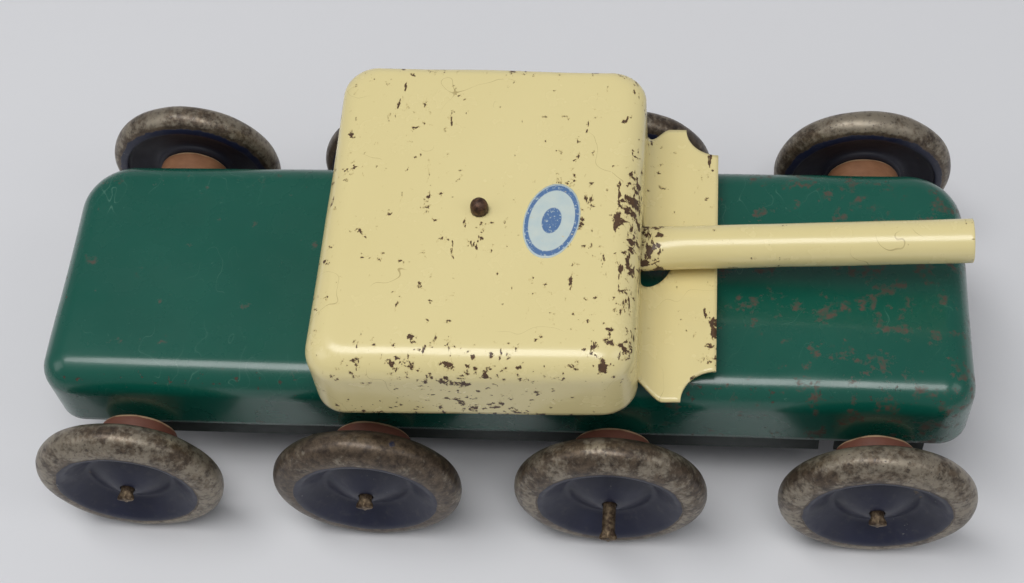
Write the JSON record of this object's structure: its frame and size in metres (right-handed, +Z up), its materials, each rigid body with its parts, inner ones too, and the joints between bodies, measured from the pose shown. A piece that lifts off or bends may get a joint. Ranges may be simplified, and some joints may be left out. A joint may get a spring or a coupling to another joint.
{
  "type": "toy army tank",
  "caption": "Pressed-steel toy tank: rounded hull on disc wheels, a box turret that swivels on a rivet, and a tube gun that comes out of a port in the turret's front.",
  "frame": {"origin": "centre of the wheelbase on the floor, under the middle of the hull", "axes": "+X towards the gun's muzzle, +Y to the vehicle's left, +Z up"},
  "size_m": [0.282, 0.1502, 0.0926],
  "materials": {
    "green_enamel": "gloss enamel, worn",
    "chassis_black": "dull dark paint",
    "axle_steel": "tarnished steel",
    "wheel_blue": "dark blue enamel worn to steel on the rim",
    "wheel_back_blue": "dark blue enamel, dusty",
    "spacer_brown": "red-brown stain, rubbed",
    "pin_brown": "rusted dark brown",
    "plain_steel": "dull steel",
    "cream_enamel": "gloss enamel with chips",
    "gun_cream": "gloss enamel, worn at the root and muzzle",
    "label_paper": "aged paper label"
  },
  "bodies": {
    "hull": {"hull_cover": "green_enamel", "chassis_channel": "chassis_black", "pivot_pin": "pin_brown", "pivot_washer": "plain_steel", "pivot_collar": "plain_steel", "pivot_spacer_tube": "plain_steel"},
    "turret": {"turret_cover": "cream_enamel", "turret_label": "label_paper"},
    "gun": {"gun_barrel": "gun_cream"},
    "axle_1_body": {"axle_1": "axle_steel"},
    "axle_2_body": {"axle_2": "axle_steel"},
    "axle_3_body": {"axle_3": "axle_steel"},
    "axle_4_body": {"axle_4": "axle_steel"},
    "wheel_1_right": {"wheel_disc_1_right": "wheel_blue", "wheel_back_1_right": "wheel_back_blue", "hub_spacer_1_right": "spacer_brown"},
    "wheel_1_left": {"wheel_disc_1_left": "wheel_blue", "wheel_back_1_left": "wheel_back_blue", "hub_spacer_1_left": "spacer_brown"},
    "wheel_2_right": {"wheel_disc_2_right": "wheel_blue", "wheel_back_2_right": "wheel_back_blue", "hub_spacer_2_right": "spacer_brown"},
    "wheel_2_left": {"wheel_disc_2_left": "wheel_blue", "wheel_back_2_left": "wheel_back_blue", "hub_spacer_2_left": "spacer_brown"},
    "wheel_3_right": {"wheel_disc_3_right": "wheel_blue", "wheel_back_3_right": "wheel_back_blue", "hub_spacer_3_right": "spacer_brown"},
    "wheel_3_left": {"wheel_disc_3_left": "wheel_blue", "wheel_back_3_left": "wheel_back_blue", "hub_spacer_3_left": "spacer_brown"},
    "wheel_4_right": {"wheel_disc_4_right": "wheel_blue", "wheel_back_4_right": "wheel_back_blue", "hub_spacer_4_right": "spacer_brown"},
    "wheel_4_left": {"wheel_disc_4_left": "wheel_blue", "wheel_back_4_left": "wheel_back_blue", "hub_spacer_4_left": "spacer_brown"}
  },
  "joints": [
    {"name": "turret_swivel", "type": "hinge", "parent": "hull", "child": "turret", "pos_m": [-0.0035, 0, 0.074], "axis": [0, 0, 1], "continuous": true},
    {"name": "gun_swing", "type": "hinge", "parent": "turret", "child": "gun", "pos_m": [-0.0035, 0, 0.066], "axis": [0, 0, 1], "range_deg": [-3, 3]},
    {"name": "axle_1_spin", "type": "hinge", "parent": "hull", "child": "axle_1_body", "pos_m": [-0.1124, 0, 0.02857], "axis": [0, 1, 0], "continuous": true},
    {"name": "axle_2_spin", "type": "hinge", "parent": "hull", "child": "axle_2_body", "pos_m": [-0.0385, 0, 0.02857], "axis": [0, 1, 0], "continuous": true},
    {"name": "axle_3_spin", "type": "hinge", "parent": "hull", "child": "axle_3_body", "pos_m": [0.0347, 0, 0.02857], "axis": [0, 1, 0], "continuous": true},
    {"name": "axle_4_spin", "type": "hinge", "parent": "hull", "child": "axle_4_body", "pos_m": [0.1124, 0, 0.02857], "axis": [0, 1, 0], "continuous": true},
    {"name": "wheel_1_right_spin", "type": "hinge", "parent": "axle_1_body", "child": "wheel_1_right", "pos_m": [-0.1124, -0.0592, 0.02857], "axis": [0, 1, 0], "continuous": true},
    {"name": "wheel_1_left_spin", "type": "hinge", "parent": "axle_1_body", "child": "wheel_1_left", "pos_m": [-0.1124, 0.0592, 0.02857], "axis": [0, 1, 0], "continuous": true},
    {"name": "wheel_2_right_spin", "type": "hinge", "parent": "axle_2_body", "child": "wheel_2_right", "pos_m": [-0.0385, -0.0592, 0.02857], "axis": [0, 1, 0], "continuous": true},
    {"name": "wheel_2_left_spin", "type": "hinge", "parent": "axle_2_body", "child": "wheel_2_left", "pos_m": [-0.0385, 0.0592, 0.02857], "axis": [0, 1, 0], "continuous": true},
    {"name": "wheel_3_right_spin", "type": "hinge", "parent": "axle_3_body", "child": "wheel_3_right", "pos_m": [0.0347, -0.0592, 0.02857], "axis": [0, 1, 0], "continuous": true},
    {"name": "wheel_3_left_spin", "type": "hinge", "parent": "axle_3_body", "child": "wheel_3_left", "pos_m": [0.0347, 0.0592, 0.02857], "axis": [0, 1, 0], "continuous": true},
    {"name": "wheel_4_right_spin", "type": "hinge", "parent": "axle_4_body", "child": "wheel_4_right", "pos_m": [0.1124, -0.0592, 0.02857], "axis": [0, 1, 0], "continuous": true},
    {"name": "wheel_4_left_spin", "type": "hinge", "parent": "axle_4_body", "child": "wheel_4_left", "pos_m": [0.1124, 0.0592, 0.02857], "axis": [0, 1, 0], "continuous": true}
  ]
}
